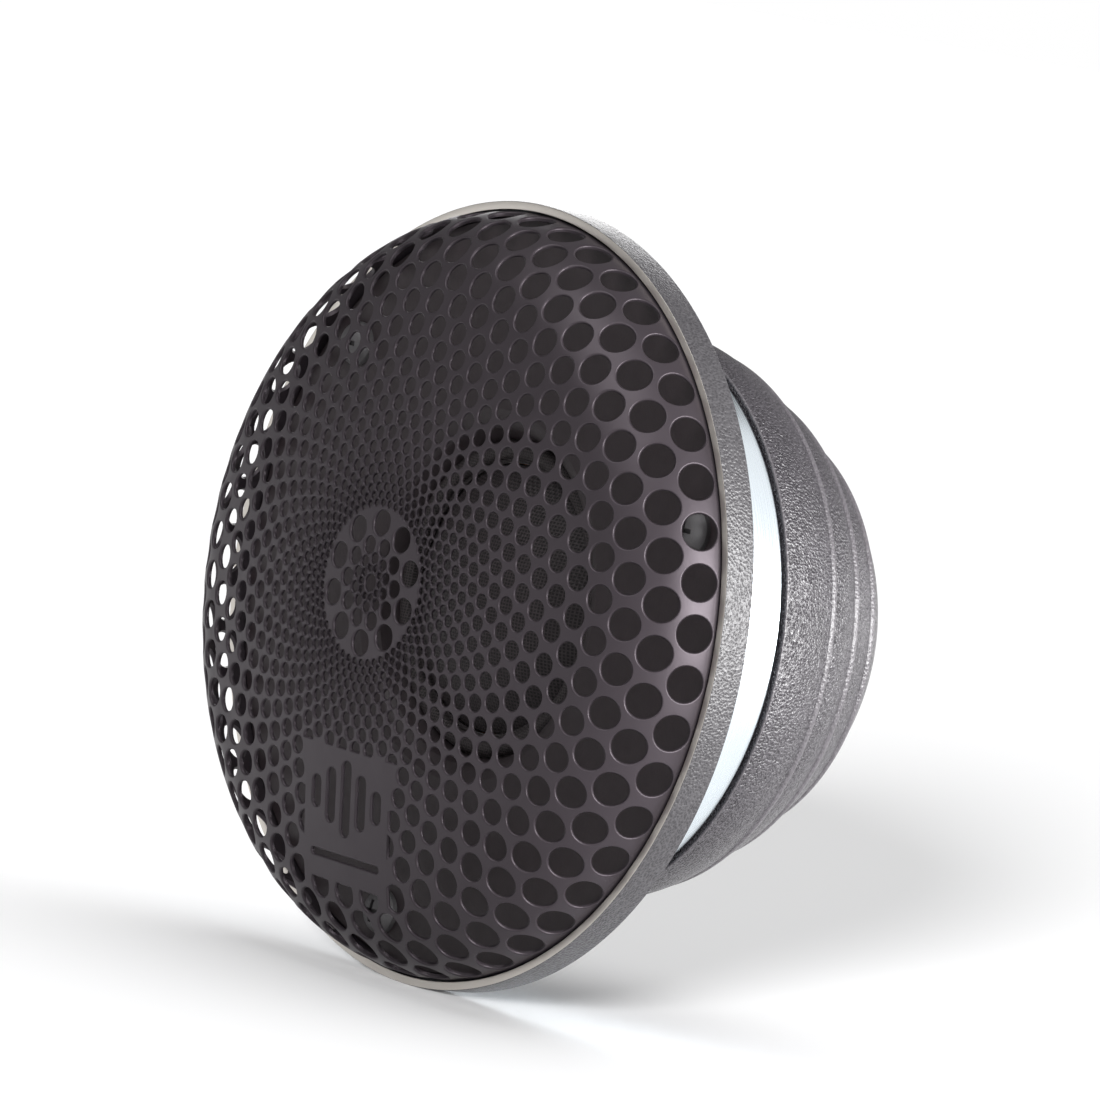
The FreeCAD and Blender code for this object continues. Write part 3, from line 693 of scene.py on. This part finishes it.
# Lighter coat for the beads and the cup's front lip: a painted highlight along them.
CUP_BEAD_HIGHLIGHT = coated_metal("bead_painted_highlight_coat", (0.062, 0.057, 0.063), 0.34, 0.2, 0.045, 0.3)
CUP_GROOVE = moulded_plastic("groove_shadow_coat", (0.012, 0.012, 0.014), 0.65)
BARE_EDGE = turned_metal("bare_machined_edge", (0.72, 0.68, 0.63), 0.4, depth=0.005)
BRIGHT_BAND = turned_metal("polished_band", (0.82, 0.89, 0.94), 0.27, line=0.05, depth=0.0008)
RUBBER = moulded_plastic("black_rubber", (0.008, 0.009, 0.013), 0.55, grain=0.35)
FACEPLATE = moulded_plastic("faceplate_plastic", (0.029, 0.0205, 0.0235), 0.5)
FRAME_PLASTIC = moulded_plastic("motor_frame_plastic", (0.03, 0.03, 0.032), 0.5)
SCREW_STEEL = turned_metal("plated_screw_steel", (0.19, 0.185, 0.19), 0.66)
MOTOR_STEEL = turned_metal("zinc_plated_steel", (0.55, 0.54, 0.5), 0.35)
NICKEL = turned_metal("nickel_plate", (0.66, 0.63, 0.57), 0.25)
COPPER = turned_metal("copper", (0.8, 0.36, 0.2), 0.3, line=0.1, depth=0.01)
FORMER = turned_metal("former_aluminium", (0.8, 0.8, 0.82), 0.3)
BRASS = turned_metal("tinned_brass", (0.72, 0.62, 0.42), 0.3)
DOME_SILK = woven_cloth("coated_dome_silk", (0.046, 0.037, 0.04), 0.24, 0.5, 0.3)
SURROUND_CLOTH = woven_cloth("surround_cloth", (0.055, 0.045, 0.047), 0.2, 0.6, 0.4)
LEAD_BRAID = woven_cloth("lead_braid", (0.6, 0.3, 0.18), 0.08, 0.45, 0.5)
FELT = soft_fibre("grey_felt", (0.12, 0.12, 0.125), 0.35)
FOAM = soft_fibre("charcoal_foam", (0.05, 0.05, 0.055), 0.8)
BOARD = moulded_plastic("phenolic_board", (0.035, 0.02, 0.014), 0.4)
RED_WIRE = moulded_plastic("red_insulation", (0.45, 0.02, 0.015), 0.4)
BLACK_WIRE = moulded_plastic("black_insulation", (0.015, 0.015, 0.016), 0.4)


# ---------------------------------------------------------------- turned pieces
def dress(piece, marks, segments=360):
    """Gives a lathed piece's outline edges their own materials: marks maps edge numbers to shaders."""
    shaders = list(dict.fromkeys(marks.values()))
    for shader in shaders:
        piece.data.materials.append(shader.material)
    for polygon in piece.data.polygons:
        shader = marks.get(polygon.index // segments)
        if shader is not None:
            polygon.material_index = 1 + shaders.index(shader)


COAT_OVERLAP = 0.03             # how far the crinkle coat comes round the ring's front corners


def make_trim_ring():
    """Ring with a bare machined front face; its side keeps the crinkle coat."""
    outline = rounded([
        (RING_LIP_BORE, TRIM_FRONT, 0.05),
        (TRIM_RADIUS, TRIM_FRONT, 0.07),
        (TRIM_RADIUS, 0.0, 0.06),
        (BAND_RADIUS, 0.0),
        (BAND_RADIUS, FLANGE_STEP),
        (SHOULDER_RADIUS, FLANGE_STEP),
        (SHOULDER_RADIUS, FLANGE_FRONT),
        (RING_BORE, FLANGE_FRONT),
        (RING_BORE, RING_LIP_REAR),
        (RING_LIP_BORE, RING_LIP_REAR),
    ])
    ring = lathe(
        "trim_ring_body", outline, "frame", RING_COAT, segments=360, sharp_degrees=28,
    )
    bare = [
        k for k, (radius, y) in enumerate(outline)
        if y < TRIM_FRONT + COAT_OVERLAP and radius < TRIM_RADIUS - COAT_OVERLAP
    ]
    dress(ring, {k: BARE_EDGE for k in bare})
    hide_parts("trim_ring")


def make_band():
    outline = rounded([
        (BAND_BORE, FLANGE_FRONT),
        (SHOULDER_RADIUS, FLANGE_FRONT),
        (SHOULDER_RADIUS, FLANGE_STEP),
        (BAND_RADIUS, FLANGE_STEP),
        (BAND_RADIUS, BAND_REAR, 0.12),
        (BAND_BORE, BAND_REAR),
    ])
    band = lathe("polished_spigot", outline, "frame", BRIGHT_BAND, segments=360)
    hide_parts("housing")


CUP_TIERS = (                   # start, bulge and end of each wall, as (radius, y)
    ((20.8, 10.1), (20.46, 12.4), (19.68, 14.42)),
    ((18.98, 15.3), (18.36, 17.02), (17.46, 18.5)),
    ((16.76, 19.2), (16.06, 20.64), (15.06, 22.12)),
    ((14.40, 22.8), (12.10, 25.38), (8.4, 27.55)),
)
CUP_CHAMBER = ((8.0, 25.4), (13.2, 21.6), (16.2, 15.4))     # its curved wall, from the rear
CHAMBER_WALL = (17.1, 13.6)     # radius of its straight wall, and where that starts
CUP_BACK_RADIUS = 8.2
WIRE_OPENING = 5.0              # radius, in front of the terminal board
BEAD_RISE = 0.12
BEAD_LENGTH = 0.56
GROOVE_DEPTH = 0.14
GROOVE_LEAN = 0.02


def make_cup():
    """Rear cup: barrel and three tiers. A thin bead ends each wall, with a groove behind it. The beads and
    the front lip take a lighter coat as a painted highlight; the grooves take a dark coat as painted shade.
    """
    lip = (CUP_RADIUS - 0.13, CUP_FRONT)
    shoulder = (CUP_RADIUS - 0.03, CUP_FRONT + 0.04)
    outline = [(CUP_BORE, CUP_FRONT), lip]
    outline += bow(lip, shoulder, (CUP_RADIUS, CUP_FRONT + 0.14), 4)
    # The front lip takes the lighter bead coat, a painted highlight.
    marks = {k: CUP_BEAD_HIGHLIGHT for k in range(1, len(outline) - 1)}
    for number, (start, bulge, end) in enumerate(CUP_TIERS):
        outline.append(start)
        outline += bow(start, bulge, end, 16)
        if number + 1 == len(CUP_TIERS):
            break
        radius, y = end
        following = CUP_TIERS[number + 1][0]
        floor = following[0] - GROOVE_DEPTH
        first = len(outline) - 1
        crown = (radius + 0.3 * BEAD_RISE, y + 0.45 * BEAD_LENGTH)
        outline += bow(end, crown, (radius - 0.5 * BEAD_LENGTH, y + BEAD_LENGTH), 6)
        marks.update({k: CUP_BEAD_HIGHLIGHT for k in range(first, len(outline) - 1)})
        first = len(outline) - 1
        outline += [(floor, y + BEAD_LENGTH + GROOVE_LEAN), (floor, following[1])]
        marks.update({k: CUP_GROOVE for k in range(first, len(outline))})
    outline += [
        (CUP_BACK_RADIUS, CUP_BACK), (BOARD_RADIUS, CUP_BACK), (BOARD_RADIUS, BOARD_SEAT),
        (WIRE_OPENING, BOARD_SEAT), (WIRE_OPENING, CUP_CHAMBER[0][1]), CUP_CHAMBER[0],
    ]
    outline += bow(*CUP_CHAMBER, 10)
    outline += [CHAMBER_WALL, (CHAMBER_WALL[0], SPIGOT_FRONT), (CUP_BORE, SPIGOT_FRONT)]
    cup = lathe(
        "stepped_rear_cup", outline, "frame", CUP_COAT, segments=360, sharp_degrees=40,
    )
    dress(cup, marks)
    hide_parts("rear_cup")
    return cup


def make_dome():
    """Coated silk dome: thin fabric with a slightly flattened crown and a soft rim."""
    apex = DOME_LOW.y
    edge = DOME_HIGH.y
    reach = DOME_HIGH.x
    height = edge - apex
    ball = (reach ** 2 + height ** 2) / (2 * height)
    cloth, rim, steps = 0.25, 0.1, 40
    outside, inside = [], []
    for k in range(steps + 1):
        radius = reach * k / steps
        y = apex + ball - math.sqrt(ball ** 2 - radius ** 2)
        outside.append((radius, y))
        inside.append((max(0.0, radius - rim * k / steps), min(edge, y + cloth)))
    dome = lathe("silk_dome", outside + inside[::-1], "diaphragm", DOME_SILK, segments=180)
    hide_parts("dome")


def make_surround():
    """Half-roll of treated cloth round the dome, with its flange in the clamp."""
    inner, outer = 9.66, 11.3
    cloth = 0.25
    clamp = SURROUND_HIGH.x
    front, rear = SURROUND_HIGH.y - cloth, SURROUND_HIGH.y
    roll = (outer - inner - cloth) / 2
    lining = roll - cloth
    middle = inner + cloth + roll
    outline = [(inner, front), (middle - roll, front)]
    outline += bow((middle - roll, front), (middle, front - roll), (middle + roll, front), 16)
    outline += [(clamp, front), (clamp, rear), (middle + lining, rear)]
    outline += bow((middle + lining, rear), (middle, rear - lining), (middle - lining, rear), 16)
    outline.append((inner, rear))
    surround = lathe(
        "half_roll_surround", outline, "frame", SURROUND_CLOTH, segments=180,
    )
    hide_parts("surround")


def make_felt_pad():
    inner, outer = 1.5, 6.0
    front = PAD_LOW.y + 0.02
    outline = rounded([
        (inner, front, 0.08), (outer, front, 0.16),
        (outer, PAD_HIGH.y, 0.06), (inner, PAD_HIGH.y, 0.06),
    ])
    pad = lathe("felt_damping_pad", outline, "frame", FELT, segments=96)
    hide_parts("damping_pad")


def make_foam():
    """Foam plug with a flat on the side where the wires pass."""
    wide, narrow, taper_start = 15.6, 13.4, 14.6
    flat_reach, flat_half_width = 11.6, 4.3
    outline = rounded([
        (0.0, FOAM_LOW.y), (wide, FOAM_LOW.y, 0.5), (wide, taper_start, 0.5),
        (narrow, FOAM_HIGH.y, 0.6), (0.0, FOAM_HIGH.y),
    ])
    foam = lathe("chamber_foam_plug", outline, "frame", FOAM, segments=160)
    for vertex in foam.data.vertices:
        if abs(vertex.co.z) < flat_half_width * MM:
            vertex.co.x = min(vertex.co.x, flat_reach * MM)
    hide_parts("chamber_foam")


BAND_LOW, BAND_HIGH = node_box("housing")
BAND_REAR = BAND_HIGH.y
FLANGE_FRONT = BAND_LOW.y
SHOULDER_RADIUS = BAND_HIGH.x
FLANGE_STEP = -0.5
BAND_RADIUS = 20.47
BAND_BORE = 18.6
RING_BORE = 27.6
RING_LIP_BORE = 27.4
RING_LIP_REAR = -2.0
CUP_LOW, CUP_HIGH = node_box("rear_cup")
CUP_RADIUS = CUP_HIGH.x
CUP_BACK = CUP_HIGH.y
SPIGOT_FRONT = CUP_LOW.y
CUP_FRONT = node_box("cup_gasket")[1].y
CUP_BORE = BAND_BORE
BOARD_RADIUS = node_box("terminal_board")[1].x
BOARD_SEAT = node_box("terminal_board")[0].y
DOME_LOW, DOME_HIGH = node_box("dome")
SURROUND_HIGH = node_box("surround")[1]
PAD_LOW, PAD_HIGH = node_box("damping_pad")
FOAM_LOW, FOAM_HIGH = node_box("chamber_foam")

make_grille(GRILLE_PAINT)
make_trim_ring()
make_band()
cup = make_cup()
make_dome()
make_surround()
make_felt_pad()
make_foam()

for node, shader in (
    ("grille_seal", RUBBER),
    ("faceplate", FACEPLATE),
    ("faceplate_screws", SCREW_STEEL),
    ("coil_former", FORMER),
    ("voice_coil", COPPER),
    ("diaphragm_ring", FACEPLATE),
    ("spacer_ring", FRAME_PLASTIC),
    ("lead_wires", LEAD_BRAID),
    ("yoke", MOTOR_STEEL),
    ("magnet", NICKEL),
    ("pole_plate", MOTOR_STEEL),
    ("shorting_cap", COPPER),
    ("motor_frame", FRAME_PLASTIC),
    ("retaining_ring", MOTOR_STEEL),
    ("retaining_screws", SCREW_STEEL),
    ("solder_lugs", BRASS),
    ("cup_gasket", RUBBER),
    ("terminal_board", BOARD),
    ("terminal_positive", BRASS),
    ("terminal_negative", BRASS),
    ("hookup_wire_positive", RED_WIRE),
    ("hookup_wire_negative", BLACK_WIRE),
):
    assign(NODES[node], shader)


# ---------------------------------------------------------------- floor and light
FLOOR_GLOW = 0.04               # the paper's own light
WORLD_LIGHT = 0.26              # strength the world lights with; the camera sees it at 1.0


def make_floor():
    """Level floor of white paper under the object's lowest point, in metres."""
    half = 8.0
    height = CAD_BOUNDS[0][2]
    mesh = bpy.data.meshes.new("studio_floor")
    corners = [(-half, -half, height), (half, -half, height), (half, half, height), (-half, half, height)]
    mesh.from_pydata(corners, [], [(0, 1, 2, 3)])
    floor = bpy.data.objects.new("studio_floor", mesh)
    bpy.context.scene.collection.objects.link(floor)
    paper = Shader("white_paper", (0.9, 0.9, 0.905), 0.9, specular=0.2)
    paper.tint(paper.noise(180.0, detail=2.0), (0.89, 0.89, 0.895), (0.92, 0.92, 0.925))
    paper.bsdf.inputs["Emission Color"].default_value = (1.0, 1.0, 1.0, 1.0)
    paper.bsdf.inputs["Emission Strength"].default_value = FLOOR_GLOW
    mesh.materials.append(paper.material)
    return floor


def softbox(name, size, power, place, target=(0.0, 4.0, 0.0)):
    """Rectangular light of a size in millimetres, aimed at a point on the object."""
    data = bpy.data.lights.new(name, "AREA")
    data.shape = "RECTANGLE"
    data.size = size[0] * MM
    data.size_y = size[1] * MM
    data.energy = power
    light = bpy.data.objects.new(name, data)
    light.location = Vector(place) * MM
    light.rotation_euler = (Vector(target) - Vector(place)).to_track_quat("-Z", "Y").to_euler()
    bpy.context.scene.collection.objects.link(light)
    return light


def sun(name, azimuth, elevation, strength, spread):
    """Far, soft light from a direction: azimuth 0 is the grille's side and 90 is +X."""
    data = bpy.data.lights.new(name, "SUN")
    data.energy = strength
    data.angle = math.radians(spread)
    light = bpy.data.objects.new(name, data)
    turn, rise = math.radians(azimuth), math.radians(elevation)
    toward = Vector((math.sin(turn) * math.cos(rise), -math.cos(turn) * math.cos(rise), math.sin(rise)))
    light.rotation_euler = (-toward).to_track_quat("-Z", "Y").to_euler()
    bpy.context.scene.collection.objects.link(light)
    return light


def only_for(piece, light):
    """The light falls on this piece alone; everything still throws its shadow on it."""
    group = bpy.data.collections.new(light.name + "_receivers")
    group.objects.link(piece)
    light.light_linking.receiver_collection = group


def not_for(pieces, *lights):
    """The lights leave these pieces out."""
    group = bpy.data.collections.new(lights[0].name + "_left_out")
    for number, piece in enumerate(pieces):
        group.objects.link(piece)
        group.collection_objects[number].light_linking.link_state = "EXCLUDE"
    for light in lights:
        light.light_linking.receiver_collection = group


def make_world(light):
    """White paper all round, which gives off less light than it shows to the camera."""
    world = bpy.data.worlds.new("white_studio")
    world.use_nodes = True
    tree = world.node_tree
    background = tree.nodes["Background"]
    background.inputs["Color"].default_value = (1.0, 1.0, 1.0, 1.0)
    path = tree.nodes.new("ShaderNodeLightPath")
    brightness = tree.nodes.new("ShaderNodeMapRange")
    brightness.inputs["To Min"].default_value = light
    brightness.inputs["To Max"].default_value = 1.0
    tree.links.new(path.outputs["Is Camera Ray"], brightness.inputs["Value"])
    tree.links.new(brightness.outputs["Result"], background.inputs["Strength"])
    bpy.context.scene.world = world


floor = make_floor()
make_world(WORLD_LIGHT)
only_for(floor, sun("floor_key", 41.0, 12.0, 6.4, 9.5))
only_for(floor, sun("floor_top", 175.0, 71.0, 1.6, 75.0))
not_for(
    [floor],
    softbox("sheen_box", (340, 400), 12.0, (690, 60, 130)),
    softbox("side_box", (300, 300), 7.2, (526, 442, 70)),
    softbox("band_box", (600, 420), 0.58, (200, 460, 500)),
    softbox("rim_box", (900, 110), 0.7, (60, 700, 20), target=(0.0, 15.0, 0.0)),
    softbox("front_top_box", (600, 500), 3.6, (40, -420, 560)),
)
not_for([floor, cup], softbox("left_back_box", (300, 340), 1.7, (-497, 463, 180)))
only_for(cup, softbox("cup_side_box", (120, 120), 1.2, (510, 480, 60)))
bpy.context.scene.view_settings.view_transform = "Standard"
